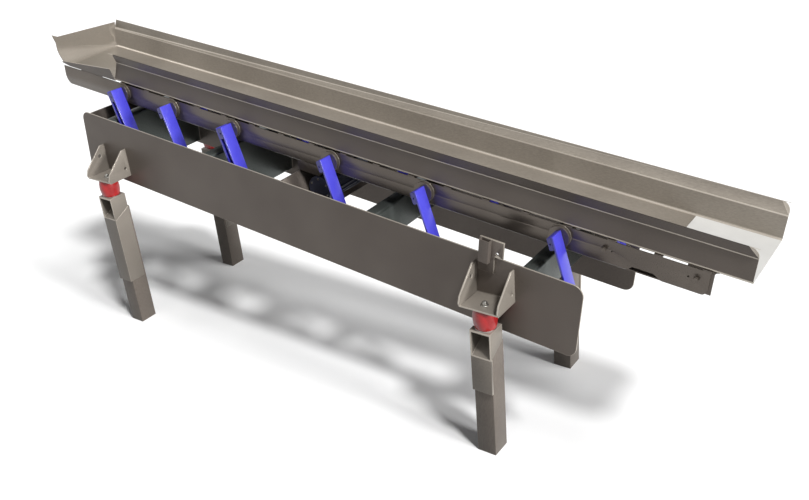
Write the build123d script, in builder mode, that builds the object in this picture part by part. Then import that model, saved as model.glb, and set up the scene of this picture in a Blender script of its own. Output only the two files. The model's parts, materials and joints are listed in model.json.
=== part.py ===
# Inclined vibrating conveyor: a folded trough on side rails, carried by leaf arms on a
# heavy frame that rides on rubber isolators over four square legs.
# Millimetres. Z = 0 is the floor, X runs towards the discharge end and Y = 0 is the middle
# of the machine. The deck (frame, arms and bed) falls towards the discharge end, and the
# legs, isolators and foot brackets stand level.
import os
from math import cos, radians, sin, tan

from build123d import *

os.makedirs("parts", exist_ok=True)

# Deck
deck_slope = 6.4
deck_height = 575.2
deck_shift = 47.0
run_gap = 0.3

# Frame side plates
plate_length = 2417.0
plate_height = 275.0
plate_thickness = 5.0
plate_corner = 38.0
frame_width = 480.0

# Trough, with X measured on the deck from the middle of the side plates
sheet = 3.0
trough_width = 306.0
trough_start = -1402.0
trough_end = 1670.0
tube_clearance = 11.35
trough_bend = 10.0
lip_height = 87.0
lip_rise = 38.0
lip_spread = 15.0
lip_slant = 29.0
lip_corner = 30.0

# Inlet at the feed end: a low flared near side and a curved end wall
inlet_length = 345.0
inlet_flare = 20.0
inlet_low = 17.0
inlet_high = 62.0
end_wall_height = 117.0
end_wall_set_back = 32.0
end_wall_radius = 78.0
end_wall_flare = 0.0
far_corner_radius = 6.0
inlet_weld_step = 2.0
ear_rise = 14.0
ear_reach = 14.0
ear_foot = 26.0

# White transition plate on the discharge end of the floor
slip_length = 268.0
slip_width = 284.0
slip_thickness = 2.0

# Rails under the trough
rail_height = 84.0
rail_thickness = 4.0
rail_flange = 34.0
rail_bend = 7.0
rail_start = -1402.0
rail_end = 1552.0
rail_gap = 4.5
rail_nose = 45.0
rail_tail = 26.0
notch_start = 1298.0
notch_length = 118.0
notch_depth = 19.0
notch_run_out = 31.0

# Leaf arms
arm_stations = (-1007.0, -707.0, -364.0, 135.0, 550.0, 1070.0)
double_stations = (1, 3)
arm_lean = 22.0
arm_length = 240.0
arm_width = 56.0
arm_thickness = 8.0
arm_overhang = 24.0
arm_setback = 16.0
pivot_height = 380.0
hub_thickness = 16.0
hub_length = 44.0
hub_corner = 5.0

# Pivot bolts and their bosses
pivot_bolt = 10.0
bolt_head_height = 6.4
bolt_head_width = 17.0
bolt_socket = 6.0
bolt_socket_depth = 6.0
pivot_clearance = 0.05
open_clearance = 0.3
thread_clearance = 0.1
top_boss = 76.0
low_boss = 60.0

# Tubes across the bed at the arm tops, and flat bars under the trough
cross_tube = 60.3
cross_tube_wall = 3.0
bar_width = 27.0
bar_pitch = 150.0
bar_count = 19
last_bar = 1540.0
feed_pad_start = -1283.0
feed_pad_length = 106.0
end_gusset_length = 82.0
end_gusset_reach = 10.0
end_gusset_fillet = 12.0

# Pegs and small holes in the rails near the discharge end
peg_stations = (1220.0, 1512.0)
peg_hole_stations = (1246.0, 1489.0)
peg_height = 383.0
peg_diameter = 16.0
peg_length = 12.0
peg_hole = 7.0

# Cross channels of the frame
channel_width = 46.0
channel_thickness = 5.0
channel_ends = (-1000.0, -414.0, 402.0, 1036.0)
channel_depths = (263.0, 244.0, 140.0, 140.0)
feed_plate_setback = 12.0
feed_plate_drop = 19.0

# Drive: an inclined plate across the frame with one vibrating motor on it
drive_top = -51.0
drive_plate_height = 190.0
drive_plate_thickness = 12.0
motor_radius = 52.0
motor_body_length = 150.0
motor_stand_off = 62.0
motor_drop = 86.0
fin_count = 18
fin_height = 6.0
fin_thickness = 3.0
cover_length = 52.0
cover_wall = 3.0
shaft_radius = 12.0
shaft_clearance = 0.05
weight_radius = 40.0
weight_thickness = 22.0
weight_hub_radius = 19.0
motor_foot_width = 36.0
guard_length = 104.0
guard_width = 260.0
guard_sheet = 3.0
guard_clearance = 7.5

# Legs
leg_tube = 80.0
leg_wall = 4.0
leg_spacing = 1910.0
leg_offset = 30.0
bracket_rise_feed = 29.4
bracket_rise_discharge = 123.7
leg_shift = 9.0
head_opening = 101.0
head_rise = 41.0
head_wall = 5.0
head_plate = 8.0
sleeve_wall = 3.0
feed_sleeve_foot = 222.0
discharge_lap_foot = 272.0

# Isolators
isolator_height = 79.0
isolator_radius = 43.0
isolator_neck = 37.0
isolator_stud = 12.0
stud_nut_width = 19.0
stud_nut_height = 8.0
stud_end = 4.0
washer_radius = 14.0
washer_thickness = 2.5

# Foot brackets
bracket_width = 153.0
bracket_depth = 111.0
bracket_height = 123.0
bracket_thickness = 6.0
bracket_hole_high = 9.0
bracket_hole_low = 6.5
gusset_nose = 6.0
gusset_nose_height = 15.0
gusset_shoulder = 3.0
gusset_shoulder_height = 40.0
gusset_waist = 43.0
gusset_waist_height = 78.0
gusset_head = 21.0

# Lifting and shipping bracket above the near discharge foot
stay_start = 831.0
stay_width = 90.0
stay_rise = 66.0
stay_step = 58.0
stay_drop = 60.0
stay_tab_rise = 5.0
stay_thickness = 8.0
stay_hole = 11.0
stay_hole_shift = 67.7
stay_hole_rise = 19.0

slope = radians(deck_slope)
lean = radians(arm_lean)
half_frame = frame_width / 2
half_trough = trough_width / 2
plate_inside = half_frame - plate_thickness
trough_base = pivot_height + cross_tube / 2 + tube_clearance
rail_top = trough_base - rail_gap
rail_foot = rail_top - rail_height
floor_top = trough_base + sheet
lip_bend = trough_base + lip_height
lip_top = lip_bend + lip_rise
arm_outer = half_frame - arm_setback
arm_inner = arm_outer - arm_width
low_pivot_shift = arm_length * sin(lean)
low_pivot_height = pivot_height - arm_length * cos(lean)
inlet_end = trough_start + inlet_length
leg_centre = half_frame + leg_offset + leg_tube / 2

deck = Plane(
    origin=(deck_shift, 0, deck_height),
    x_dir=(cos(slope), 0, -sin(slope)),
    z_dir=(sin(slope), 0, cos(slope)),
)


def deck_point(x, y, z):
    return deck.from_local_coords((x, y, z))


def side_face(y):
    """Deck plane facing the near side, with X along the deck and Y up it."""
    return Plane(origin=deck_point(0, y, 0), x_dir=deck.x_dir, z_dir=(0, -1, 0))


def section_at(x):
    """Deck plane across the machine, facing the discharge end."""
    return Plane(origin=deck_point(x, 0, 0), x_dir=(0, 1, 0), z_dir=deck.x_dir)


def level_at(z):
    """Deck plane parallel to the trough floor."""
    return Plane(origin=deck_point(0, 0, z), x_dir=deck.x_dir, z_dir=deck.z_dir)


def arm_face(station, y):
    """Plane on an arm's near side: origin at its lower pivot, X along the stroke, Y up the arm."""
    stroke = deck.x_dir * cos(lean) + deck.z_dir * sin(lean)
    pivot = deck_point(station + low_pivot_shift, y, low_pivot_height)
    return Plane(origin=pivot, x_dir=stroke, z_dir=(0, -1, 0))


# Frame

with BuildPart() as near_side_plate:
    with BuildSketch(side_face(-half_frame)):
        with Locations((0, plate_height / 2)):
            RectangleRounded(plate_length, plate_height, plate_corner)
    extrude(amount=-plate_thickness)
near_side_plate.part.label = "near_side_plate"
export_step(near_side_plate.part, "parts/near_side_plate.step")

with BuildPart() as far_side_plate:
    mirror(near_side_plate.part, about=Plane.XZ)
far_side_plate.part.label = "far_side_plate"
export_step(far_side_plate.part, "parts/far_side_plate.step")


def channel_section(face, depth):
    """Section of a folded channel across the frame, open towards the feed end."""
    with BuildSketch(side_face(-plate_inside)) as section:
        with BuildLine():
            outline = FilletPolyline(
                (face - channel_width, plate_height),
                (face, plate_height),
                (face, plate_height - depth),
                (face - channel_width, plate_height - depth),
                radius=2 * channel_thickness,
            )
            offset(outline, amount=channel_thickness, side=Side.RIGHT)
        make_face()
    return section.sketch


with BuildPart() as cross_channels:
    for face, depth in zip(channel_ends, channel_depths):
        extrude(channel_section(face, depth), amount=-2 * plate_inside)
cross_channels.part.label = "cross_channels"
export_step(cross_channels.part, "parts/cross_channels.step")

with BuildPart() as feed_end_plate:
    with BuildSketch(side_face(-plate_inside)):
        with Locations((-plate_length / 2 + feed_plate_setback, feed_plate_setback)):
            Rectangle(
                channel_thickness,
                plate_height - feed_plate_setback - feed_plate_drop,
                align=(Align.CENTER, Align.MIN),
            )
    extrude(amount=-2 * plate_inside)
feed_end_plate.part.label = "feed_end_plate"
export_step(feed_end_plate.part, "parts/feed_end_plate.step")

with BuildPart() as frame_bosses:
    for station in arm_stations:
        with BuildSketch(arm_face(station, -arm_outer - run_gap)):
            Circle(low_boss / 2)
            Circle(pivot_bolt / 2 + thread_clearance, mode=Mode.SUBTRACT)
        extrude(amount=plate_inside - arm_outer - run_gap)
    mirror(about=Plane.XZ)
frame_bosses.part.label = "frame_bosses"
export_step(frame_bosses.part, "parts/frame_bosses.step")

with BuildPart() as lower_pivot_bolts:
    for station in arm_stations:
        with BuildSketch(arm_face(station, -arm_inner + run_gap)):
            Circle(pivot_bolt / 2)
        extrude(amount=plate_inside - arm_inner + run_gap)
        with BuildSketch(arm_face(station, -arm_inner + run_gap)):
            RegularPolygon(bolt_head_width / 2, 6, major_radius=False)
        extrude(amount=-bolt_head_height)
    mirror(about=Plane.XZ)
lower_pivot_bolts.part.label = "lower_pivot_bolts"
export_step(lower_pivot_bolts.part, "parts/lower_pivot_bolts.step")

# Leaf arms and their hubs

for number, station in enumerate(arm_stations, 1):
    with BuildPart() as near_arm:
        with BuildSketch(arm_face(station, -arm_outer)):
            with Locations(((hub_thickness + arm_thickness) / 2, arm_length / 2)):
                Rectangle(arm_thickness, arm_length + 2 * arm_overhang)
        extrude(amount=-arm_width)
    near_arm.part.label = f"near_arm_{number}"
    export_step(near_arm.part, f"parts/near_arm_{number}.step")

    with BuildPart() as far_arm:
        mirror(near_arm.part, about=Plane.XZ)
    far_arm.part.label = f"far_arm_{number}"
    export_step(far_arm.part, f"parts/far_arm_{number}.step")

    with BuildPart() as arm_hubs:
        with BuildSketch(arm_face(station, -arm_outer)):
            with Locations((0, 0), (0, arm_length)):
                RectangleRounded(hub_thickness, hub_length, hub_corner)
            Circle(pivot_bolt / 2 + pivot_clearance, mode=Mode.SUBTRACT)
            with Locations((0, arm_length)):
                Circle(pivot_bolt / 2 + open_clearance, mode=Mode.SUBTRACT)
        extrude(amount=-arm_width)
        mirror(about=Plane.XZ)
    arm_hubs.part.label = f"arm_hubs_{number}"
    export_step(arm_hubs.part, f"parts/arm_hubs_{number}.step")

    if number in double_stations:
        with BuildPart() as rear_arms:
            with BuildSketch(arm_face(station, -arm_outer)):
                with Locations((-(hub_thickness + arm_thickness) / 2, arm_length / 2)):
                    Rectangle(arm_thickness, arm_length + 2 * arm_overhang)
            extrude(amount=-arm_width)
            mirror(about=Plane.XZ)
        rear_arms.part.label = f"rear_arms_{number}"
        export_step(rear_arms.part, f"parts/rear_arms_{number}.step")

# Bed: rails, cross tubes, bosses and trough

with BuildPart() as near_rail:
    with BuildSketch(section_at(rail_start)):
        with BuildLine():
            web = FilletPolyline(
                (-half_trough, rail_top),
                (-half_trough, rail_foot),
                (-half_trough + rail_flange, rail_foot),
                radius=rail_bend,
            )
            offset(web, amount=rail_thickness, side=Side.LEFT)
        make_face()
    extrude(amount=rail_end - rail_start)
    with BuildSketch(side_face(-half_trough)):
        with BuildLine():
            Polyline(
                (rail_start, rail_top),
                (rail_start, rail_foot + rail_nose),
            )
            RadiusArc(
                (rail_start, rail_foot + rail_nose),
                (rail_start + rail_nose, rail_foot),
                -rail_nose,
            )
            Line((rail_start + rail_nose, rail_foot), (rail_end - rail_tail, rail_foot))
            RadiusArc((rail_end - rail_tail, rail_foot), (rail_end, rail_foot + rail_tail), -rail_tail)
            Polyline((rail_end, rail_foot + rail_tail), (rail_end, rail_top), (rail_start, rail_top))
        make_face()
        with Locations(*[(station, peg_height) for station in peg_hole_stations]):
            Circle(peg_hole / 2, mode=Mode.SUBTRACT)
    extrude(amount=-rail_flange, mode=Mode.INTERSECT)
    with BuildSketch(side_face(-half_trough)):
        with BuildLine():
            Polyline(
                (notch_start, rail_foot),
                (notch_start + notch_depth, rail_foot + notch_depth),
                (notch_start + notch_length - notch_run_out, rail_foot + notch_depth),
                (notch_start + notch_length, rail_foot),
                close=True,
            )
        make_face()
    extrude(amount=-rail_bend, mode=Mode.SUBTRACT)
near_rail.part.label = "near_rail"
export_step(near_rail.part, "parts/near_rail.step")

with BuildPart() as far_rail:
    mirror(near_rail.part, about=Plane.XZ)
far_rail.part.label = "far_rail"
export_step(far_rail.part, "parts/far_rail.step")

with BuildPart() as bed_cross_tubes:
    with BuildSketch(side_face(-half_trough + rail_thickness)):
        with Locations(*[(station, pivot_height) for station in arm_stations]):
            Circle(cross_tube / 2)
            Circle(cross_tube / 2 - cross_tube_wall, mode=Mode.SUBTRACT)
    extrude(amount=-(trough_width - 2 * rail_thickness))
bed_cross_tubes.part.label = "bed_cross_tubes"
export_step(bed_cross_tubes.part, "parts/bed_cross_tubes.step")

with BuildPart() as rail_bosses:
    with BuildSketch(side_face(-half_trough)):
        with Locations(*[(station, pivot_height) for station in arm_stations]):
            Circle(top_boss / 2)
            Circle(pivot_bolt / 2 + thread_clearance, mode=Mode.SUBTRACT)
    extrude(amount=arm_inner - half_trough - run_gap)
    with BuildSketch(side_face(-half_trough)):
        with Locations(*[(station, peg_height) for station in peg_stations]):
            Circle(peg_diameter / 2)
    extrude(amount=peg_length)
    mirror(about=Plane.XZ)
rail_bosses.part.label = "rail_bosses"
export_step(rail_bosses.part, "parts/rail_bosses.step")

with BuildPart() as upper_pivot_bolts:
    for station in arm_stations:
        with BuildSketch(side_face(-half_trough)):
            with Locations((station, pivot_height)):
                Circle(pivot_bolt / 2)
        extrude(amount=arm_outer - half_trough)
        with BuildSketch(side_face(-arm_outer)):
            with Locations((station, pivot_height)):
                RegularPolygon(bolt_socket / 2, 6, major_radius=False)
        extrude(amount=-bolt_socket_depth, mode=Mode.SUBTRACT)
    mirror(about=Plane.XZ)
upper_pivot_bolts.part.label = "upper_pivot_bolts"
export_step(upper_pivot_bolts.part, "parts/upper_pivot_bolts.step")

gusset_end = rail_end + end_gusset_reach
with BuildPart() as trough_bars:
    with BuildSketch(level_at(rail_top)):
        with Locations((last_bar - bar_pitch * (bar_count - 1) / 2, 0)):
            with GridLocations(bar_pitch, 1, bar_count, 1):
                Rectangle(bar_width, trough_width)
        with Locations((feed_pad_start + feed_pad_length / 2, 0)):
            Rectangle(feed_pad_length, trough_width)
    extrude(amount=rail_gap)
    with BuildSketch(side_face(-half_trough + rail_thickness)):
        with BuildLine():
            Polyline(
                (gusset_end + end_gusset_fillet, trough_base),
                (gusset_end - end_gusset_length, trough_base),
                (gusset_end - end_gusset_length, rail_foot + rail_bend),
                (gusset_end, rail_foot + rail_bend),
                (gusset_end, trough_base - end_gusset_fillet),
            )
            RadiusArc(
                (gusset_end, trough_base - end_gusset_fillet),
                (gusset_end + end_gusset_fillet, trough_base),
                end_gusset_fillet,
            )
        make_face()
    extrude(amount=-rail_thickness)
    mirror(about=Plane.XZ)
trough_bars.part.label = "trough_bars"
export_step(trough_bars.part, "parts/trough_bars.step")


def trough_skin(x, *outer):
    """Section of the folded sheet at x, from the points of its outer face."""
    with BuildSketch(section_at(x)) as section:
        with BuildLine():
            skin = FilletPolyline(*outer, radius=trough_bend)
            offset(skin, amount=sheet, side=Side.LEFT)
        make_face()
    return section.sketch


def end_wall_skin(face, wall_x, radius):
    """Section of the end wall: a stretch of floor that bends up into the wall."""
    with BuildSketch(face) as section:
        with BuildLine():
            skin = FilletPolyline(
                (inlet_floor_start, 0),
                (wall_x, 0),
                (wall_x, end_wall_height),
                radius=radius,
            )
            offset(skin, amount=sheet, side=Side.RIGHT)
        make_face()
    return section.sketch


near_side = (
    (-half_trough - lip_spread, lip_top),
    (-half_trough, lip_bend),
    (-half_trough, trough_base),
)
far_side = (
    (half_trough, trough_base),
    (half_trough, lip_bend),
    (half_trough + lip_spread, lip_top),
)
near_wall_x = trough_start - end_wall_set_back
inlet_floor_start = near_wall_x + end_wall_radius + inlet_weld_step
flare_out = Vector(0, -sin(radians(inlet_flare)), 0) + deck.z_dir * cos(radians(inlet_flare))
wall_out = Vector(0, -sin(radians(end_wall_flare)), 0) + deck.z_dir * cos(radians(end_wall_flare))
near_edge = deck_point(0, -half_trough, trough_base)
flare_face = Plane(origin=near_edge, x_dir=deck.x_dir, z_dir=deck.x_dir.cross(flare_out))
wall_face = Plane(origin=near_edge, x_dir=deck.x_dir, z_dir=deck.x_dir.cross(wall_out))
far_face = Plane(origin=deck_point(0, half_trough, trough_base), x_dir=deck.x_dir, z_dir=(0, -1, 0))

with BuildPart() as trough:
    channel_skin = trough_skin(inlet_end, *near_side, *far_side)
    extrude(channel_skin, amount=trough_end - inlet_end)
    with BuildSketch(side_face(-half_trough - lip_spread)):
        with BuildLine():
            Polyline(
                (inlet_end, trough_base),
                (inlet_end + lip_slant, lip_bend),
                (inlet_end + lip_slant, lip_top),
                (inlet_end, lip_top),
                close=True,
            )
        make_face()
    extrude(amount=-(lip_spread + trough_bend), mode=Mode.SUBTRACT)
    inlet_skin = trough_skin(inlet_floor_start, (-half_trough, trough_base), *far_side)
    extrude(inlet_skin, amount=inlet_end - inlet_floor_start)
    corner_start = (half_trough - 2 * trough_bend, trough_base)
    corner_skin = trough_skin(trough_start, corner_start, *far_side)
    extrude(corner_skin, amount=inlet_floor_start - trough_start)
    with BuildSketch(flare_face):
        with BuildLine():
            Polyline(
                (inlet_end + sheet, 0),
                (inlet_floor_start, 0),
                (trough_start, inlet_low / 2),
                (trough_start, inlet_low),
                (inlet_end + sheet, inlet_high),
                close=True,
            )
        make_face()
    extrude(amount=-sheet)
    near_skin = end_wall_skin(wall_face, near_wall_x, end_wall_radius)
    far_skin = end_wall_skin(far_face, trough_start, far_corner_radius)
    loft([near_skin, far_skin], ruled=True)
    wall_top = trough_base + end_wall_height
    with BuildSketch(section_at(near_wall_x)):
        with BuildLine():
            Polyline(
                (-half_trough, wall_top - ear_foot),
                (-half_trough + sheet, wall_top - ear_foot),
                (-half_trough + ear_reach, wall_top),
                (-half_trough - ear_reach, wall_top + ear_rise),
                close=True,
            )
        make_face()
    extrude(amount=sheet)
    with BuildSketch(side_face(-half_trough - lip_spread)):
        with Locations((trough_end - lip_corner / 2, lip_top - lip_corner / 2)):
            Rectangle(lip_corner, lip_corner)
        with Locations((trough_end - lip_corner, lip_top - lip_corner)):
            Circle(lip_corner, mode=Mode.SUBTRACT)
    extrude(amount=-(trough_width + 2 * lip_spread), mode=Mode.SUBTRACT)
trough.part.label = "trough"
export_step(trough.part, "parts/trough.step")

with BuildPart() as slip_plate:
    with BuildSketch(level_at(floor_top)):
        with Locations((trough_end - slip_length / 2, 0)):
            Rectangle(slip_length, slip_width)
    extrude(amount=slip_thickness)
slip_plate.part.label = "slip_plate"
export_step(slip_plate.part, "parts/slip_plate.step")

# Drive

drive_normal = deck.x_dir * cos(lean) + deck.z_dir * sin(lean)
drive_up = deck.z_dir * cos(lean) - deck.x_dir * sin(lean)
drive_origin = deck_point(drive_top, 0, plate_height)
drive_face = Plane(origin=drive_origin, x_dir=(0, 1, 0), z_dir=drive_normal)
motor_centre = drive_origin - drive_up * motor_drop + drive_normal * (drive_plate_thickness + motor_stand_off)


def motor_section(y):
    """Plane across the motor's axis, facing the near side."""
    return Plane(origin=motor_centre + Vector(0, y, 0), x_dir=drive_normal, z_dir=(0, -1, 0))


half_motor = motor_body_length / 2

with BuildPart() as drive_plate:
    with BuildSketch(drive_face):
        with Locations((0, -drive_plate_height / 2)):
            Rectangle(2 * plate_inside, drive_plate_height)
    extrude(amount=drive_plate_thickness)
drive_plate.part.label = "drive_plate"
export_step(drive_plate.part, "parts/drive_plate.step")

with BuildPart() as drive_motor:
    with BuildSketch(motor_section(half_motor)):
        Circle(motor_radius)
        with PolarLocations(motor_radius, fin_count):
            Rectangle(2 * fin_height, fin_thickness)
        with Locations((-motor_stand_off / 2, 0)):
            Rectangle(motor_stand_off, 2 * motor_foot_width)
        Circle(shaft_radius + shaft_clearance, mode=Mode.SUBTRACT)
    extrude(amount=motor_body_length)
drive_motor.part.label = "drive_motor"
export_step(drive_motor.part, "parts/drive_motor.step")

with BuildPart() as motor_covers:
    with BuildSketch(motor_section(-half_motor)):
        Circle(motor_radius)
    extrude(amount=cover_length)
    with BuildSketch(motor_section(-half_motor)):
        Circle(motor_radius - cover_wall)
    extrude(amount=cover_length - cover_wall, mode=Mode.SUBTRACT)
    mirror(about=Plane.XZ)
motor_covers.part.label = "motor_covers"
export_step(motor_covers.part, "parts/motor_covers.step")

with BuildPart() as motor_shaft:
    with BuildSketch(motor_section(half_motor + cover_length - 2 * cover_wall)):
        Circle(shaft_radius)
    extrude(amount=motor_body_length + 2 * (cover_length - 2 * cover_wall))
motor_shaft.part.label = "motor_shaft"
export_step(motor_shaft.part, "parts/motor_shaft.step")

with BuildPart() as eccentric_weights:
    with BuildSketch(motor_section(-half_motor - cover_length / 4)):
        Circle(weight_radius)
        with Locations((0, weight_radius / 2 + shaft_radius / 2)):
            Rectangle(2 * weight_radius, weight_radius, mode=Mode.SUBTRACT)
        Circle(weight_hub_radius)
        Circle(shaft_radius, mode=Mode.SUBTRACT)
    extrude(amount=weight_thickness)
    mirror(about=Plane.XZ)
eccentric_weights.part.label = "eccentric_weights"
export_step(eccentric_weights.part, "parts/eccentric_weights.step")

guard_end = drive_top + guard_length
guard_base = plate_height + drive_plate_thickness * sin(lean)
guard_top = rail_foot - guard_clearance
guard_height = guard_top - guard_base
with BuildPart() as drive_guard:
    with BuildSketch(side_face(-guard_width / 2)):
        with BuildLine():
            Polyline(
                (drive_top, guard_base),
                (drive_top, guard_top),
                (guard_end, guard_top),
                (guard_end, guard_base),
                close=True,
            )
        make_face()
    extrude(amount=-guard_width)
    with BuildSketch(side_face(-guard_width / 2 + guard_sheet)):
        with Locations((drive_top + guard_length / 2, guard_base + guard_height / 2 - guard_sheet)):
            Rectangle(guard_length - 2 * guard_sheet, guard_height)
    extrude(amount=-(guard_width - 2 * guard_sheet), mode=Mode.SUBTRACT)
drive_guard.part.label = "drive_guard"
export_step(drive_guard.part, "parts/drive_guard.step")

# Feet: brackets, isolators, heads and tubes


def leg_top_at(support_x, bracket_rise):
    """Height of a leg's top, from the lower edge of the side plates above it."""
    plate_edge = deck_height - (support_x - deck_shift) * tan(slope)
    return plate_edge + bracket_rise - isolator_height


supports = (
    ("feed", -leg_spacing / 2, leg_top_at(-leg_spacing / 2, bracket_rise_feed)),
    ("discharge", leg_spacing / 2, leg_top_at(leg_spacing / 2, bracket_rise_discharge)),
)

for end, support_x, leg_top in supports:
    plate_foot = leg_top + isolator_height
    with BuildPart() as foot_brackets:
        with BuildSketch(Plane.XY.offset(plate_foot)):
            with Locations((support_x, -half_frame - bracket_depth / 2)):
                Rectangle(bracket_width, bracket_depth)
            with Locations((support_x, -leg_centre)):
                Circle(isolator_stud / 2 + open_clearance, mode=Mode.SUBTRACT)
        extrude(amount=bracket_thickness)
        for side in (-1, 1):
            gusset_x = support_x + side * (bracket_width / 2 - (bracket_thickness if side > 0 else 0))
            with BuildSketch(Plane(origin=(gusset_x, -half_frame, plate_foot), x_dir=(0, -1, 0), z_dir=(-1, 0, 0))):
                with BuildLine():
                    Polyline(
                        (0, 0),
                        (bracket_depth, 0),
                        (bracket_depth + gusset_nose, gusset_nose_height),
                        (bracket_depth - gusset_shoulder, gusset_shoulder_height),
                        (bracket_depth - gusset_waist, gusset_waist_height),
                        (gusset_head, bracket_height),
                        (0, bracket_height),
                        close=True,
                    )
                make_face()
                if side < 0:
                    with Locations((gusset_waist / 2 + gusset_head / 2, gusset_waist_height)):
                        Circle(bracket_hole_high, mode=Mode.SUBTRACT)
                else:
                    with Locations((gusset_head, gusset_shoulder_height)):
                        Circle(bracket_hole_low, mode=Mode.SUBTRACT)
            extrude(amount=-bracket_thickness)
        mirror(about=Plane.XZ)
    foot_brackets.part.label = f"{end}_foot_brackets"
    export_step(foot_brackets.part, f"parts/{end}_foot_brackets.step")

    for side, row in (("near", -1), ("far", 1)):
        with BuildPart() as isolator:
            with BuildSketch(Plane(origin=(support_x, row * leg_centre, leg_top), x_dir=(1, 0, 0), z_dir=(0, -1, 0))):
                with BuildLine():
                    Polyline((0, isolator_height), (0, 0), (isolator_neck, 0))
                    ThreePointArc(
                        (isolator_neck, 0),
                        (isolator_radius, isolator_height / 2),
                        (isolator_neck, isolator_height),
                    )
                    Line((isolator_neck, isolator_height), (0, isolator_height))
                make_face()
            revolve(axis=Axis((support_x, row * leg_centre, 0), (0, 0, 1)))
        isolator.part.label = f"{side}_{end}_isolator"
        export_step(isolator.part, f"parts/{side}_{end}_isolator.step")

        with BuildPart() as leg:
            with BuildSketch():
                with Locations((support_x, row * (leg_centre - leg_shift))):
                    Rectangle(leg_tube - 2 * sleeve_wall, leg_tube)
                    Rectangle(leg_tube - 2 * sleeve_wall - 2 * leg_wall, leg_tube - 2 * leg_wall, mode=Mode.SUBTRACT)
            extrude(amount=leg_top - head_opening - 2 * head_wall)
        leg.part.label = f"{side}_{end}_leg"
        export_step(leg.part, f"parts/{side}_{end}_leg.step")

with BuildPart() as isolator_bolts:
    for end, support_x, leg_top in supports:
        plate_top = leg_top + isolator_height + bracket_thickness
        with BuildSketch(Plane.XY.offset(plate_top)):
            with Locations((support_x, -leg_centre)):
                Circle(washer_radius)
        extrude(amount=washer_thickness)
        with BuildSketch(Plane.XY.offset(plate_top + washer_thickness)):
            with Locations((support_x, -leg_centre)):
                RegularPolygon(stud_nut_width / 2, 6, major_radius=False)
        extrude(amount=stud_nut_height)
        with BuildSketch(Plane.XY.offset(leg_top + isolator_height)):
            with Locations((support_x, -leg_centre)):
                Circle(isolator_stud / 2)
        extrude(amount=bracket_thickness + washer_thickness + stud_nut_height + stud_end)
    mirror(about=Plane.XZ)
isolator_bolts.part.label = "isolator_bolts"
export_step(isolator_bolts.part, "parts/isolator_bolts.step")

# Leg heads: an open-fronted box that carries the isolator, over a sleeve or a lap plate
for end, support_x, leg_top in supports:
    sleeve_foot = feed_sleeve_foot if end == "feed" else discharge_lap_foot
    outer_face = leg_centre + leg_tube / 2
    with BuildPart() as leg_heads:
        cheek_plane = Plane(origin=(support_x - leg_tube / 2, -leg_centre, leg_top), x_dir=(0, -1, 0), z_dir=(-1, 0, 0))
        with BuildSketch(cheek_plane):
            with BuildLine():
                Polyline(
                    (leg_tube / 2, 0),
                    (leg_tube / 2, -head_opening - head_wall),
                    (-leg_tube / 2, -head_opening - head_wall + head_rise),
                    (-leg_tube / 2, 0),
                    close=True,
                )
            make_face()
        extrude(amount=-leg_tube)
        with BuildSketch(cheek_plane.offset(-head_wall)):
            with BuildLine():
                Polyline(
                    (leg_tube / 2, -head_plate),
                    (leg_tube / 2, -head_opening),
                    (-leg_tube / 2 + head_wall, -head_opening + head_rise - head_wall / 2),
                    (-leg_tube / 2 + head_wall, -head_plate),
                    close=True,
                )
            make_face()
        extrude(amount=-(leg_tube - 2 * head_wall), mode=Mode.SUBTRACT)
        with BuildSketch(Plane.XY.offset(sleeve_foot)):
            with Locations((support_x, -outer_face + leg_shift / 2)):
                Rectangle(leg_tube, leg_shift)
            if end == "feed":
                for cheek in (-1, 1):
                    with Locations((support_x + cheek * (leg_tube - sleeve_wall) / 2, -leg_centre)):
                        Rectangle(sleeve_wall, leg_tube)
        extrude(amount=leg_top - head_opening - head_wall - sleeve_foot)
        mirror(about=Plane.XZ)
    leg_heads.part.label = f"{end}_leg_heads"
    export_step(leg_heads.part, f"parts/{end}_leg_heads.step")

with BuildPart() as stay_bracket:
    with BuildSketch(side_face(-half_frame)):
        with BuildLine():
            Polyline(
                (stay_start, plate_height - stay_drop),
                (stay_start + stay_step, plate_height - stay_drop),
                (stay_start + stay_step, plate_height + stay_tab_rise),
                (stay_start + stay_width, plate_height + stay_tab_rise),
                (stay_start + stay_width, plate_height + stay_rise),
                (stay_start, plate_height + stay_rise),
                close=True,
            )
        make_face()
        with Locations((stay_start + stay_hole_shift, plate_height + stay_hole_rise)):
            Circle(stay_hole / 2, mode=Mode.SUBTRACT)
    extrude(amount=stay_thickness)
stay_bracket.part.label = "stay_bracket"
export_step(stay_bracket.part, "parts/stay_bracket.step")
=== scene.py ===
import json
import math

import bmesh
import bpy
from mathutils import Matrix, Vector


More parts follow.
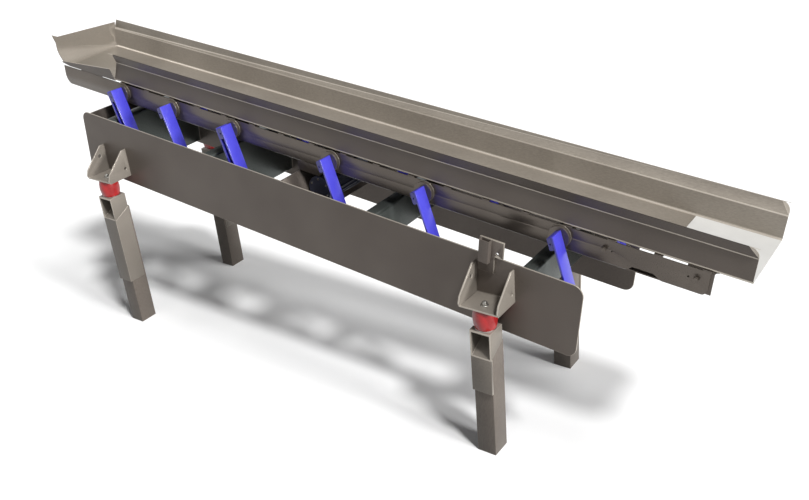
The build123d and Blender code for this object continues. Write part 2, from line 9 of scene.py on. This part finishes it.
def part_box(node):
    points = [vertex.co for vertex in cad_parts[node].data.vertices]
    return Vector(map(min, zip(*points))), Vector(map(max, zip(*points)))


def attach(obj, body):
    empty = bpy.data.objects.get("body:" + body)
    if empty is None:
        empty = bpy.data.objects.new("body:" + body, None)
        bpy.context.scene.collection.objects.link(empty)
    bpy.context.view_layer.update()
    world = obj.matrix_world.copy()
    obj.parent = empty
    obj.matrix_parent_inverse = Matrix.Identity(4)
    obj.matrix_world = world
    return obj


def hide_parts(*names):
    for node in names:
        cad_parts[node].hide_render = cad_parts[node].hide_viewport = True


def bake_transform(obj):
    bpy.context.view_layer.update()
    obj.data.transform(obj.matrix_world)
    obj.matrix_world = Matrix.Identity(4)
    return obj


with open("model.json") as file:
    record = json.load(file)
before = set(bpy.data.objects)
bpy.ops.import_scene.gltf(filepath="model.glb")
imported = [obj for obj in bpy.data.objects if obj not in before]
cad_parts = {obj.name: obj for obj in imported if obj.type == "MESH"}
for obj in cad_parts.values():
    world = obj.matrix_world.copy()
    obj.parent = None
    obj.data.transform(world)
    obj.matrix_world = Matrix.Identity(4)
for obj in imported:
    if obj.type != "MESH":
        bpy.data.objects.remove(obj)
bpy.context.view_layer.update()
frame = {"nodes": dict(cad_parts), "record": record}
nodes = frame["nodes"]

# Camera at the photograph's viewing angle

photo_width, photo_height = 809, 500
sensor_width = 36.0
focal_pixels = 899.57
camera_right = Vector((0.81661, 0.57140, -0.08153))
camera_up = Vector((-0.20765, 0.42263, 0.88219))
camera_back = Vector((0.53855, -0.70348, 0.46378))
camera_place = Vector((2.3026, -2.4767, 2.1642))

camera_data = bpy.data.cameras.new("photo_camera")
camera_data.sensor_width = sensor_width
camera_data.lens = focal_pixels / photo_width * sensor_width
camera_data.clip_end = 60.0
camera = bpy.data.objects.new("photo_camera", camera_data)
turn = Matrix((camera_right, camera_up, camera_back)).transposed()
camera.matrix_world = Matrix.Translation(camera_place) @ turn.to_4x4()
bpy.context.scene.collection.objects.link(camera)
bpy.context.scene.camera = camera


def linear(colour):
    """Linear RGBA of an sRGB hex colour."""
    shares = [int(colour[i:i + 2], 16) / 255 for i in (1, 3, 5)]
    return [c / 12.92 if c <= 0.04045 else ((c + 0.055) / 1.055) ** 2.4 for c in shares] + [1.0]


def put(tree, kind, values=None, **settings):
    """Adds a node, with its settings, and with its input values or the sockets that feed them."""
    node = tree.nodes.new(kind)
    for name, value in settings.items():
        setattr(node, name, value)
    for name, value in (values or {}).items():
        if isinstance(value, bpy.types.NodeSocket):
            tree.links.new(value, node.inputs[name])
        else:
            node.inputs[name].default_value = value
    return node


def blank(name):
    """A new material and its empty tree."""
    material = bpy.data.materials.new(name)
    material.use_nodes = True
    material.node_tree.nodes.clear()
    return material, material.node_tree


def finish(tree, **values):
    """Closes a material's tree with its Principled shader, whose inputs are given by their names."""
    shader = put(tree, "ShaderNodeBsdfPrincipled", {name.replace("_", " "): value for name, value in values.items()})
    put(tree, "ShaderNodeOutputMaterial", {"Surface": shader.outputs["BSDF"]})


def steel(name, low, high, metallic, rough, grit, stretch=(1, 1, 1)):
    """Stainless steel: grit, in metres, in its colour, gloss and surface, over wide faint clouding."""
    material, tree = blank(name)
    place = put(tree, "ShaderNodeTexCoord").outputs["Object"]
    drawn = put(tree, "ShaderNodeMapping", {"Vector": place, "Scale": stretch}).outputs["Vector"]
    grain = put(
        tree, "ShaderNodeTexNoise", {"Vector": drawn, "Scale": 1 / grit, "Detail": 4.0, "Roughness": 0.65},
    ).outputs["Fac"]
    cloud = put(tree, "ShaderNodeTexNoise", {"Vector": place, "Scale": 3.6, "Detail": 2.0}).outputs["Fac"]
    share = put(tree, "ShaderNodeMix", {0: 0.42, 2: grain, 3: cloud}).outputs[0]
    share = put(tree, "ShaderNodeMapRange", {"Value": share, "From Min": 0.36, "From Max": 0.64}).outputs[0]
    tone = put(tree, "ShaderNodeMix", {0: share, 6: linear(low), 7: linear(high)}, data_type="RGBA").outputs[2]
    gloss = put(
        tree, "ShaderNodeMapRange",
        {"Value": grain, "From Min": 0.3, "From Max": 0.7, "To Min": rough - 0.05, "To Max": rough + 0.07},
    ).outputs[0]
    pits = put(tree, "ShaderNodeBump", {"Height": grain, "Strength": 0.35, "Distance": grit / 9}).outputs[0]
    finish(tree, Base_Color=tone, Metallic=metallic, Roughness=gloss, Normal=pits, Specular_IOR_Level=0.2)
    return material


# Bead-blasted stainless plate: shot leaves an even satin pitting, drawn here at 3 mm so that it shows
blasted = steel("bead_blasted_stainless", "#625a54", "#766e67", 0.25, 0.38, 0.003)
# The same plate folded into rails and rubbed by handling, so it mirrors the arms more
blasted_rail = steel("handled_blasted_stainless", "#5b544e", "#6e6760", 0.6, 0.3, 0.003)
# Cold-rolled trough sheet, fine, its grain drawn out along the rolling direction; paler than the plate as painted
# light, for the trough's lit inner sides
rolled = steel("cold_rolled_stainless", "#7b746b", "#8d867c", 0.3, 0.34, 0.0035, (0.25, 1, 1))
# Foot brackets and leg heads: the same plate painted paler, a painted light for where they catch the lamps
painted_light_blasted = steel("painted_light_blasted_stainless", "#79726a", "#8e877e", 0.15, 0.38, 0.003)
# Channels folded from smooth unblasted sheet, which mirrors what is round it; its cool green-grey tone is painted
# reflection
folded = steel("smooth_folded_stainless", "#4a4e4c", "#5d625f", 0.6, 0.3, 0.003)
# Painted highlight on edges: a thin line brighter than the faces beside it, standing for the light that edges catch
painted_edge_highlight = steel("painted_highlight_stainless_edge", "#a49c91", "#bdb5aa", 0.5, 0.32, 0.002)
# Square tube of the legs, linished lengthwise
linished = steel("linished_stainless_tube", "#675f58", "#7c746c", 0.12, 0.42, 0.003, (1, 1, 0.2))
# Bright fasteners: turned and forged stainless, clean and glossy
bright = steel("machined_stainless", "#9a9893", "#b3b1ac", 0.9, 0.28, 0.002)
# Weld metal: cleaned and lightly blasted bead, a touch brighter than the plate, with lumps 4 mm apart
bead_metal = steel("cleaned_weld_metal", "#6b645d", "#8c857c", 0.5, 0.38, 0.004)


def laminate(name, low, high):
    """Glass-fibre laminate: saturated blue resin, glossy, with its cloth of 4 mm strands just showing through."""
    material, tree = blank(name)
    place = put(tree, "ShaderNodeTexCoord").outputs["Object"]
    strands = put(tree, "ShaderNodeTexNoise", {"Vector": place, "Scale": 250.0, "Detail": 2.0}).outputs["Fac"]
    cloud = put(tree, "ShaderNodeTexNoise", {"Vector": place, "Scale": 11.0, "Detail": 1.0}).outputs["Fac"]
    share = put(tree, "ShaderNodeMath", {0: strands, 1: cloud}, operation="MULTIPLY").outputs[0]
    share = put(tree, "ShaderNodeMapRange", {"Value": share, "From Min": 0.15, "From Max": 0.4}).outputs[0]
    tone = put(tree, "ShaderNodeMix", {0: share, 6: linear(low), 7: linear(high)}, data_type="RGBA").outputs[2]
    gloss = put(tree, "ShaderNodeMapRange", {"Value": strands, "To Min": 0.24, "To Max": 0.38}).outputs[0]
    cloth = put(tree, "ShaderNodeBump", {"Height": strands, "Strength": 0.25, "Distance": 0.0002}).outputs[0]
    finish(tree, Base_Color=tone, Roughness=gloss, Normal=cloth, Coat_Weight=0.3, Coat_Roughness=0.15)
    return material


def rubber():
    """Cast polyurethane rubber: even bright red, wet-looking, with a faint 6 mm ripple from the mould."""
    material, tree = blank("red_cast_rubber")
    place = put(tree, "ShaderNodeTexCoord").outputs["Object"]
    skin = put(tree, "ShaderNodeTexNoise", {"Vector": place, "Scale": 165.0, "Detail": 3.0}).outputs["Fac"]
    tone = put(
        tree, "ShaderNodeMix", {0: skin, 6: linear("#ab1517"), 7: linear("#bf2426")}, data_type="RGBA",
    ).outputs[2]
    gloss = put(tree, "ShaderNodeMapRange", {"Value": skin, "To Min": 0.2, "To Max": 0.42}).outputs[0]
    ripple = put(tree, "ShaderNodeBump", {"Height": skin, "Strength": 0.2, "Distance": 0.0004}).outputs[0]
    finish(tree, Base_Color=tone, Roughness=gloss, Normal=ripple, Coat_Weight=0.2, Coat_Roughness=0.1)
    return material


def slick_plastic():
    """Skived polyethylene plate: milky white and waxy, with faint clouding 50 mm across."""
    material, tree = blank("white_polyethylene")
    place = put(tree, "ShaderNodeTexCoord").outputs["Object"]
    cloud = put(tree, "ShaderNodeTexNoise", {"Vector": place, "Scale": 20.0, "Detail": 3.0}).outputs["Fac"]
    tone = put(
        tree, "ShaderNodeMix", {0: cloud, 6: linear("#b9b8b5"), 7: linear("#c6c5c2")}, data_type="RGBA",
    ).outputs[2]
    gloss = put(tree, "ShaderNodeMapRange", {"Value": cloud, "To Min": 0.28, "To Max": 0.44}).outputs[0]
    finish(tree, Base_Color=tone, Roughness=gloss)
    return material


def casting():
    """Painted iron casting: dark blue-grey enamel over the 4 mm orange-peel of a sand mould."""
    material, tree = blank("enamelled_casting")
    place = put(tree, "ShaderNodeTexCoord").outputs["Object"]
    peel = put(tree, "ShaderNodeTexNoise", {"Vector": place, "Scale": 250.0, "Detail": 3.0}).outputs["Fac"]
    tone = put(
        tree, "ShaderNodeMix", {0: peel, 6: linear("#34384b"), 7: linear("#474c63")}, data_type="RGBA",
    ).outputs[2]
    gloss = put(tree, "ShaderNodeMapRange", {"Value": peel, "To Min": 0.34, "To Max": 0.6}).outputs[0]
    skin = put(tree, "ShaderNodeBump", {"Height": peel, "Strength": 0.4, "Distance": 0.0006}).outputs[0]
    finish(tree, Base_Color=tone, Roughness=gloss, Normal=skin)
    return material


# Leaves as pressed, and the clamp blocks between them in a darker blue, which is painted shade so that they read as the
# arms' shaded sides
blue_leaf = laminate("blue_glass_fibre", "#403db8", "#4b49c4")
shaded_blue_block = laminate("painted_shade_blue_glass_fibre", "#2f2d8c", "#3a38a0")
red_rubber = rubber()
white_plate = slick_plastic()
enamel = casting()

finishes = {
    "bead_blasted_steel": blasted,
    "sheet_steel": rolled,
    "blue_leaf": blue_leaf,
    "blue_hub": shaded_blue_block,
    "red_rubber": red_rubber,
    "white_plate": white_plate,
    "fastener_steel": bright,
    "cast_housing": enamel,
}
own_finish = {
    "near_rail": blasted_rail, "far_rail": blasted_rail, "rail_bosses": blasted_rail, "cross_channels": folded,
}
for leg in ("near_feed_leg", "far_feed_leg", "near_discharge_leg", "far_discharge_leg"):
    own_finish[leg] = linished
for pale in ("feed_foot_brackets", "discharge_foot_brackets", "feed_leg_heads", "discharge_leg_heads"):
    own_finish[pale] = painted_light_blasted

slot_of = {row["node"]: row["material_slot"] for row in frame["record"]["subparts"]}
body_of = {node: body for body, members in frame["record"]["behaviour"]["bodies"].items() for node in members}

for name, node in nodes.items():
    node.data.materials.clear()
    node.data.materials.append(own_finish.get(name, finishes[slot_of[name]]))


def keep(shape, name, body, finish_used, smooth_to=28):
    """Makes a bmesh a piece of the scene, with the finish given, that rides on a body where one is named."""
    mesh = bpy.data.meshes.new(name)
    shape.to_mesh(mesh)
    shape.free()
    mesh.materials.append(finish_used)
    mesh.shade_smooth()
    mesh.set_sharp_from_angle(angle=math.radians(smooth_to))
    piece = bpy.data.objects.new(name, mesh)
    bpy.context.scene.collection.objects.link(piece)
    if body:
        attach(piece, body)
    return piece


# Faces that meet flatter than the first are joined, and edges sharper than the second are broken
flat_join_angle, sharp_angle = math.radians(1.0), math.radians(32)


def breadth(face):
    """How wide a long face is: its area over its longest edge."""
    return face.calc_area() / max(e.calc_length() for e in face.edges)


def rounded(node, width, flat_join=True, reshape=None, edge=None):
    """A piece that stands for a CAD node: the same shape, merged, with its sharp edges broken.
    Faces narrower than a given edge get the painted edge highlight."""
    shape = bmesh.new()
    shape.from_mesh(nodes[node].data)
    bmesh.ops.remove_doubles(shape, verts=shape.verts, dist=1e-5)
    if flat_join:
        bmesh.ops.dissolve_limit(shape, angle_limit=flat_join_angle, verts=shape.verts, edges=shape.edges)
    if reshape:
        reshape(shape)
    sharp = [e for e in shape.edges if len(e.link_faces) == 2 and e.calc_face_angle(0) > sharp_angle]
    bmesh.ops.bevel(
        shape, geom=sharp, offset=width, offset_type="OFFSET", affect="EDGES",
        segments=2, profile=0.5, material=-1, clamp_overlap=True,
    )
    # Narrow faces get the painted edge highlight
    for face in shape.faces:
        face.material_index = int(bool(edge) and breadth(face) < edge)
    piece = keep(shape, node + "_broken_edges", body_of[node], nodes[node].data.materials[0])
    if edge:
        piece.data.materials.append(painted_edge_highlight)
    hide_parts(node)
    return piece


# Widths of the broken edges, and the widest face that counts as a plate's edge
edge_break, fine_break, leaf_break, plate_edge = 0.0012, 0.0008, 0.0015, 0.0085
for node in (
    "near_side_plate", "far_side_plate", "feed_end_plate",
    "feed_foot_brackets", "discharge_foot_brackets", "stay_bracket",
):
    rounded(node, edge_break, edge=plate_edge)
for node in ("cross_channels", "near_rail", "far_rail", "drive_plate", "drive_guard"):
    rounded(node, edge_break)
for node in ("lower_pivot_bolts", "rail_bosses", "frame_bosses", "motor_covers", "drive_motor"):
    rounded(node, fine_break)
for number in range(1, 7):
    for side in ("near", "far"):
        rounded(f"{side}_arm_{number}", leaf_break)

# Legs: the tubes and sleeves are mitred to the sloped floor of the head above them

head_front, tube_inside, head_slope, head_drop = 0.350, 0.270, 41 / 80, 0.106
same_level, mitre_gap = 2e-4, 0.0004


def mitred(level, leg_top, outermost):
    """A change of shape that takes the points at a level, out to a distance, up to the underside of the leg's head."""
    def lift(shape):
        for point in shape.verts:
            out = abs(point.co.y)
            if abs(point.co.z - level) < same_level and out < outermost:
                rise = head_slope * (head_front - max(out, tube_inside))
                point.co.z = leg_top - head_drop + rise - mitre_gap
    return lift


for end in ("feed", "discharge"):
    leg_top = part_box(f"near_{end}_isolator")[0][2]
    sleeves_up = mitred(leg_top - head_drop, leg_top, head_front - 0.0005)
    rounded(f"{end}_leg_heads", fine_break, flat_join=False, reshape=sleeves_up, edge=plate_edge)
    for side in ("near", "far"):
        leg = f"{side}_{end}_leg"
        rounded(leg, edge_break, reshape=mitred(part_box(leg)[1][2], leg_top, 1.0))

# Places on the deck, which falls towards the discharge end: lengths in metres from the part's own values

deck_slope = math.radians(6.4)
arm_lean = math.radians(22.0)
deck_along = Vector((math.cos(deck_slope), 0, -math.sin(deck_slope)))
deck_up = Vector((math.sin(deck_slope), 0, math.cos(deck_slope)))
deck_start = Vector((0.047, 0, 0.5752))
arm_stations = (-1.007, -0.707, -0.364, 0.135, 0.550, 1.070)
pivot_height = 0.380
arm_length = 0.240
half_frame, plate_inside, half_trough = 0.240, 0.235, 0.153
leg_centre = 0.310


def on_deck(x, y, z):
    """The point x along the deck from the side plates' middle, y across and z above its base."""
    return deck_start + deck_along * x + Vector((0, y, 0)) + deck_up * z


# Trough, its lips cut level above their rounded corners: the up- and inward-facing sides get the pale rolled finish and
# the outer sides the darker blasted one, as painted light and shade, and narrow sheet edges the painted edge highlight

lip_top, inlet_end, end_wall, sheet_edge = 0.54650, -0.9, -1.30, 0.0035
trough_shape = bmesh.new()
trough_shape.from_mesh(nodes["trough"].data)
bmesh.ops.remove_doubles(trough_shape, verts=trough_shape.verts, dist=1e-5)
long_faces = [f for f in trough_shape.faces if (f.calc_center_median() - deck_start).dot(deck_along) > inlet_end]
long_faces = {part for f in long_faces for part in (f, *f.edges, *f.verts)}
bmesh.ops.bisect_plane(
    trough_shape, geom=list(long_faces), dist=1e-6, plane_co=on_deck(0, 0, lip_top), plane_no=deck_up,
    clear_outer=True, clear_inner=False,
)
bmesh.ops.holes_fill(trough_shape, edges=[e for e in trough_shape.edges if e.is_boundary], sides=0)
# Painted light and shade: faces towards the lit inside take the pale finish, faces outward and down the darker one, and
# narrow edges the painted highlight
for face in trough_shape.faces:
    middle = face.calc_center_median() - deck_start
    inward = -face.normal.y if middle.y > 0 else face.normal.y
    upward, endward = face.normal.dot(deck_up), face.normal.dot(deck_along)
    narrow = breadth(face) < sheet_edge
    at_end_wall = middle.dot(deck_along) < end_wall
    inside = upward > 0.5 or inward > 0.4 or (at_end_wall and endward > 0.25)
    face.material_index = 2 if narrow and not at_end_wall else int(not inside)
trough_piece = keep(trough_shape, "trough_sheet", "bed", rolled)
trough_piece.data.materials.append(blasted)
trough_piece.data.materials.append(painted_edge_highlight)
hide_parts("trough")

# Weld beads


def bead_round(shape, centre, axis, radius, size):
    """A fillet bead round a boss or tube: a small ring whose section is spun about the axis."""
    axis = axis.normalized()
    across = axis.orthogonal().normalized()
    made = bmesh.ops.create_circle(shape, segments=8, radius=size / 2, cap_ends=False)["verts"]
    turn = Matrix((across, axis, across.cross(axis))).transposed().to_4x4()
    bmesh.ops.transform(shape, matrix=Matrix.Translation(centre + across * radius) @ turn, verts=made)
    edges = list({e for v in made for e in v.link_edges})
    bmesh.ops.spin(
        shape, geom=made + edges, cent=centre, axis=axis, dvec=(0, 0, 0),
        angle=2 * math.pi, steps=40, use_merge=True, use_duplicate=False,
    )


def bead_along(shape, start, end, size):
    """A straight fillet bead from start to end, closed and rounded at its ends."""
    run = end - start
    turn = run.to_track_quat("Z", "Y").to_matrix().to_4x4()
    made = bmesh.ops.create_cone(
        shape, cap_ends=True, segments=8, radius1=size / 2, radius2=size / 2, depth=run.length,
        matrix=Matrix.Translation((start + end) / 2) @ turn,
    )["verts"]
    edges = {e for v in made for e in v.link_edges}
    ends = [e for e in edges if abs((e.verts[0].co - e.verts[1].co).dot(run)) < 1e-9]
    bmesh.ops.bevel(
        shape, geom=ends, offset=size / 5, offset_type="OFFSET", affect="EDGES",
        segments=2, profile=0.5, material=-1, clamp_overlap=True,
    )


along_y = Vector((0, 1, 0))
boss_rim, tube_rim, gusset_end = 0.0380, 0.0305, 1.562

welds = bmesh.new()
for station in arm_stations:
    for side in (-1, 1):
        bead_round(welds, on_deck(station, side * half_trough, pivot_height), along_y, boss_rim, 0.0026)
        bead_round(welds, on_deck(station, side * (half_trough - 0.004), pivot_height), along_y, tube_rim, 0.003)
for side in (-1, 1):
    foot = on_deck(gusset_end - 0.080, side * (half_trough - 0.006), 0.4205)
    bead_along(welds, foot, on_deck(gusset_end + 0.008, side * (half_trough - 0.006), 0.4205), 0.003)
bmesh.ops.recalc_face_normals(welds, faces=welds.faces)
keep(welds, "bed_weld_beads", "bed", bead_metal)

# End and depth of each cross channel, both faces of the feed end plate, and the brackets' inner corners
channels = ((-1.000, 0.263), (-0.414, 0.244), (0.402, 0.140), (1.036, 0.140))
pivot_rim, feed_plate_faces, bracket_corner = 0.0303, (-1.1935, -1.1995), 0.0064
plate_bead, bracket_bead = 0.004, 0.0035
welds = bmesh.new()
for station in arm_stations:
    pivot = on_deck(station + arm_length * math.sin(arm_lean), 0, pivot_height - arm_length * math.cos(arm_lean))
    for side in (-1, 1):
        bead_round(welds, pivot + along_y * side * (plate_inside - 0.0005), along_y, pivot_rim, plate_bead)
for end, depth in channels:
    for side in (-1, 1):
        y = side * (plate_inside - 0.0005)
        bead_along(welds, on_deck(end, y, 0.266), on_deck(end, y, 0.283 - depth), plate_bead)
        bead_along(welds, on_deck(end - 0.042, y, 0.270), on_deck(end - 0.010, y, 0.270), plate_bead)
for side in (-1, 1):
    y = side * (plate_inside - 0.0005)
    for x in feed_plate_faces:
        bead_along(welds, on_deck(x, y, 0.040), on_deck(x, y, 0.250), plate_bead)
for brackets in ("feed_foot_brackets", "discharge_foot_brackets"):
    low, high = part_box(brackets)
    left, right, floor = low[0] + bracket_corner, high[0] - bracket_corner, low[2] + bracket_corner
    for side in (-1, 1):
        y = side * (half_frame + 0.0006)
        for x in (left, right):
            bead_along(welds, Vector((x, y, low[2] + 0.010)), Vector((x, y, high[2] - 0.006)), bracket_bead)
        bead_along(welds, Vector((low[0] + 0.010, y, floor)), Vector((high[0] - 0.010, y, floor)), bracket_bead)
        for x in (left, right):
            bead_along(welds, Vector((x, y, floor)), Vector((x, side * (half_frame + 0.106), floor)), bracket_bead)
bmesh.ops.recalc_face_normals(welds, faces=welds.faces)
keep(welds, "frame_weld_beads", "frame", bead_metal)

# Stay channel: the folded channel that is seen on the outer face of the near stay bracket

stay_start, stay_face, stay_foot, stay_top = 0.837, -0.248, 0.256, 0.339
channel_width, channel_depth, channel_wall = 0.039, 0.018, 0.003
stay_shape = bmesh.new()
outline = (
    (0, 0), (channel_width, 0), (channel_width, channel_depth), (channel_width - channel_wall, channel_depth),
    (channel_width - channel_wall, channel_wall), (channel_wall, channel_wall), (channel_wall, channel_depth),
    (0, channel_depth),
)
corners = [stay_shape.verts.new(on_deck(stay_start + x, stay_face - channel_depth + y, stay_foot)) for x, y in outline]
section = stay_shape.faces.new(corners)
raised = bmesh.ops.extrude_face_region(stay_shape, geom=[section])["geom"]
raised = [part for part in raised if isinstance(part, bmesh.types.BMVert)]
bmesh.ops.translate(stay_shape, vec=deck_up * (stay_top - stay_foot), verts=raised)
folds = [
    e for e in stay_shape.edges
    if abs((e.verts[0].co - e.verts[1].co).dot(deck_up)) > 0.05
    and all(abs(v.co.y - stay_face) > channel_depth - channel_wall / 2 for v in e.verts)
]
bmesh.ops.bevel(
    stay_shape, geom=folds, offset=0.0025, offset_type="OFFSET", affect="EDGES",
    segments=3, profile=0.5, material=-1, clamp_overlap=True,
)
bmesh.ops.recalc_face_normals(stay_shape, faces=stay_shape.faces)
keep(stay_shape, "stay_channel", "frame", blasted)

# Isolators: barrels of rubber with moulded-in steel end discs, and the studs and nuts above them


def turned(shape, place, profile, steps=48):
    """A body turned about a vertical axis at place, from the radius and height of each point of its profile."""
    points = [shape.verts.new(place + Vector((radius, 0, height))) for radius, height in profile]
    edges = [shape.edges.new(pair) for pair in zip(points, points[1:])]
    bmesh.ops.spin(
        shape, geom=points + edges, cent=place, axis=(0, 0, 1), dvec=(0, 0, 0),
        angle=2 * math.pi, steps=steps, use_merge=True, use_duplicate=False,
    )
    bmesh.ops.remove_doubles(shape, verts=shape.verts, dist=1e-6)


disc, disc_radius, barrel_end, barrel_bulge, ring_count = 0.0025, 0.038, 0.0374, 0.0056, 12
for side in ("near", "far"):
    for end in ("feed", "discharge"):
        node = f"{side}_{end}_isolator"
        low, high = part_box(node)
        place = Vector(((low[0] + high[0]) / 2, (low[1] + high[1]) / 2, low[2]))
        tall = high[2] - low[2]
        barrel = bmesh.new()
        bulge = [(0.0, disc), (barrel_end - 0.0012, disc), (barrel_end, disc + 0.0012)]
        for step in range(1, ring_count):
            share = step / ring_count
            radius = barrel_end + barrel_bulge * math.sin(math.pi * share)
            bulge.append((radius, disc + (tall - 2 * disc) * share))
        bulge += [(barrel_end, tall - disc - 0.0012), (barrel_end - 0.0012, tall - disc), (0.0, tall - disc)]
        turned(barrel, place, bulge)
        bmesh.ops.recalc_face_normals(barrel, faces=barrel.faces)
        barrel_piece = keep(barrel, node + "_barrel", None, red_rubber, 40)
        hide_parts(node)
        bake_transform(barrel_piece)
        for foot, where, body in ((0.0, "lower", "legs"), (tall - disc, "upper", "frame")):
            ends = bmesh.new()
            low_rim = [(0.0, 0.0), (disc_radius - 0.0008, 0.0), (disc_radius, 0.0006)]
            high_rim = [(disc_radius, disc - 0.0006), (disc_radius - 0.0008, disc), (0.0, disc)]
            turned(ends, place + Vector((0, 0, foot)), low_rim + high_rim)
            bmesh.ops.recalc_face_normals(ends, faces=ends.faces)
            keep(ends, f"{node}_{where}_disc", body, bright)


def hexagon(shape, place, width, height):
    """A hexagon nut standing at place, its corners turned off at both ends."""
    made = bmesh.ops.create_cone(
        shape, cap_ends=True, segments=6, radius1=width / math.sqrt(3), radius2=width / math.sqrt(3), depth=height,
        matrix=Matrix.Translation(place + Vector((0, 0, height / 2))),
    )["verts"]
    edges = list({e for v in made for e in v.link_edges})
    bmesh.ops.bevel(
        shape, geom=edges, offset=width * 0.05, offset_type="OFFSET", affect="EDGES",
        segments=2, profile=0.5, material=-1, clamp_overlap=True,
    )


# Isolator studs: washer, nut and the stud's chamfered end on each foot bracket
studs = bmesh.new()
stud, nut, nut_height, washer, washer_height, proud = 0.006, 0.019, 0.008, 0.014, 0.0025, 0.004
for brackets in ("feed_foot_brackets", "discharge_foot_brackets"):
    low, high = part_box(brackets)
    for row in (-1, 1):
        place = Vector(((low[0] + high[0]) / 2, row * leg_centre, low[2] + 0.006))
        rim = [(washer, washer_height - 0.0005), (washer - 0.0005, washer_height), (0.0, washer_height)]
        turned(studs, place, [(0.0, 0.0), (washer, 0.0)] + rim)
        hexagon(studs, place + Vector((0, 0, washer_height)), nut, nut_height)
        tip = washer_height + nut_height + proud
        turned(studs, place, [(0.0, -0.006), (stud, -0.006), (stud, tip - 0.001), (stud - 0.001, tip), (0.0, tip)])
bmesh.ops.recalc_face_normals(studs, faces=studs.faces)
stud_piece = keep(studs, "isolator_studs_and_nuts", "frame", bright)
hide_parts("isolator_bolts")

# Motor screws: six round each end cover's rim
screw_circle, screw_radius, screw_length, screw_proud = 0.041, 0.0045, 0.004, 0.0012
low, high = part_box("motor_covers")
motor_place = Vector(((low[0] + high[0]) / 2, 0, (low[2] + high[2]) / 2))
screws = bmesh.new()
for row in (-1, 1):
    for number in range(6):
        angle = math.radians(30 + 60 * number)
        face = motor_place + Vector((screw_circle * math.cos(angle), row * high[1], screw_circle * math.sin(angle)))
        made = bmesh.ops.create_cone(
            screws, cap_ends=True, segments=12, radius1=screw_radius, radius2=screw_radius, depth=screw_length,
            matrix=Matrix.Translation(face + along_y * row * screw_proud) @ Matrix.Rotation(math.pi / 2, 4, "X"),
        )["verts"]
        edges = {e for v in made for e in v.link_edges}
        rims = [e for e in edges if abs(e.verts[0].co.y - e.verts[1].co.y) < 1e-6]
        bmesh.ops.bevel(
            screws, geom=rims, offset=0.0008, offset_type="OFFSET", affect="EDGES",
            segments=2, profile=0.5, material=-1, clamp_overlap=True,
        )
bmesh.ops.recalc_face_normals(screws, faces=screws.faces)
keep(screws, "motor_cover_screws", "frame", bright)

# Floor, light and background

floor_bounce = "#585858"
room_light = 0.12
# Name, strength, spread in degrees, and where the light goes
lamps = (
    ("roof_lamp", 2.35, 8, (-0.62, 0.24, -1.0)),
    ("back_lamp", 0.95, 18, (-0.50, -0.12, -1.0)),
    ("end_lamp", 2.6, 12, (-1.0, 0.06, -0.3)),
    ("front_lamp", 0.12, 40, (-0.2, 1.0, -0.35)),
)


def studio():
    """White paper on the floor, four distant lamps and a plain world."""
    shape = bmesh.new()
    bmesh.ops.create_grid(shape, x_segments=1, y_segments=1, size=20.0)
    mesh = bpy.data.meshes.new("studio_floor")
    shape.to_mesh(mesh)
    shape.free()
    floor = bpy.data.objects.new("studio_floor", mesh)
    bpy.context.scene.collection.objects.link(floor)
    # Matt white paper where it is seen or mirrored; as a source of bounced light it is a dull grey
    paper, tree = blank("white_studio_paper")
    path = put(tree, "ShaderNodeLightPath").outputs
    camera_or_glossy = {0: path["Is Camera Ray"], 1: path["Is Glossy Ray"]}
    seen = put(tree, "ShaderNodeMath", camera_or_glossy, operation="MAXIMUM").outputs[0]
    seen = put(tree, "ShaderNodeMath", {0: seen, 1: path["Is Transmission Ray"]}, operation="MAXIMUM").outputs[0]
    dull = put(tree, "ShaderNodeBsdfDiffuse", {"Color": linear(floor_bounce)}).outputs[0]
    white = put(tree, "ShaderNodeBsdfDiffuse", {"Color": linear("#ffffff")}).outputs[0]
    mixed = put(tree, "ShaderNodeMixShader", {0: seen, 1: dull, 2: white}).outputs[0]
    put(tree, "ShaderNodeOutputMaterial", {"Surface": mixed})
    mesh.materials.append(paper)

    world = bpy.data.worlds.new("studio")
    bpy.context.scene.world = world
    world.use_nodes = True
    tree = world.node_tree
    tree.nodes.clear()
    path = put(tree, "ShaderNodeLightPath").outputs
    camera_or_glossy = {0: path["Is Camera Ray"], 1: path["Is Glossy Ray"]}
    seen = put(tree, "ShaderNodeMath", camera_or_glossy, operation="MAXIMUM").outputs[0]
    seen = put(tree, "ShaderNodeMath", {0: seen, 1: path["Is Transmission Ray"]}, operation="MAXIMUM").outputs[0]
    ambient = put(tree, "ShaderNodeBackground", {"Color": linear("#ffffff"), "Strength": room_light}).outputs[0]
    white = put(tree, "ShaderNodeBackground", {"Color": linear("#ffffff"), "Strength": 1.0}).outputs[0]
    mixed = put(tree, "ShaderNodeMixShader", {0: seen, 1: ambient, 2: white}).outputs[0]
    put(tree, "ShaderNodeOutputWorld", {"Surface": mixed})

    for name, strength, angle, towards in lamps:
        light = bpy.data.lights.new(name, "SUN")
        light.energy = strength
        light.angle = math.radians(angle)
        lamp = bpy.data.objects.new(name, light)
        lamp.rotation_mode = "QUATERNION"
        lamp.rotation_quaternion = Vector(towards).to_track_quat("-Z", "Y")
        bpy.context.scene.collection.objects.link(lamp)


studio()
bpy.context.scene.view_settings.view_transform = "Standard"
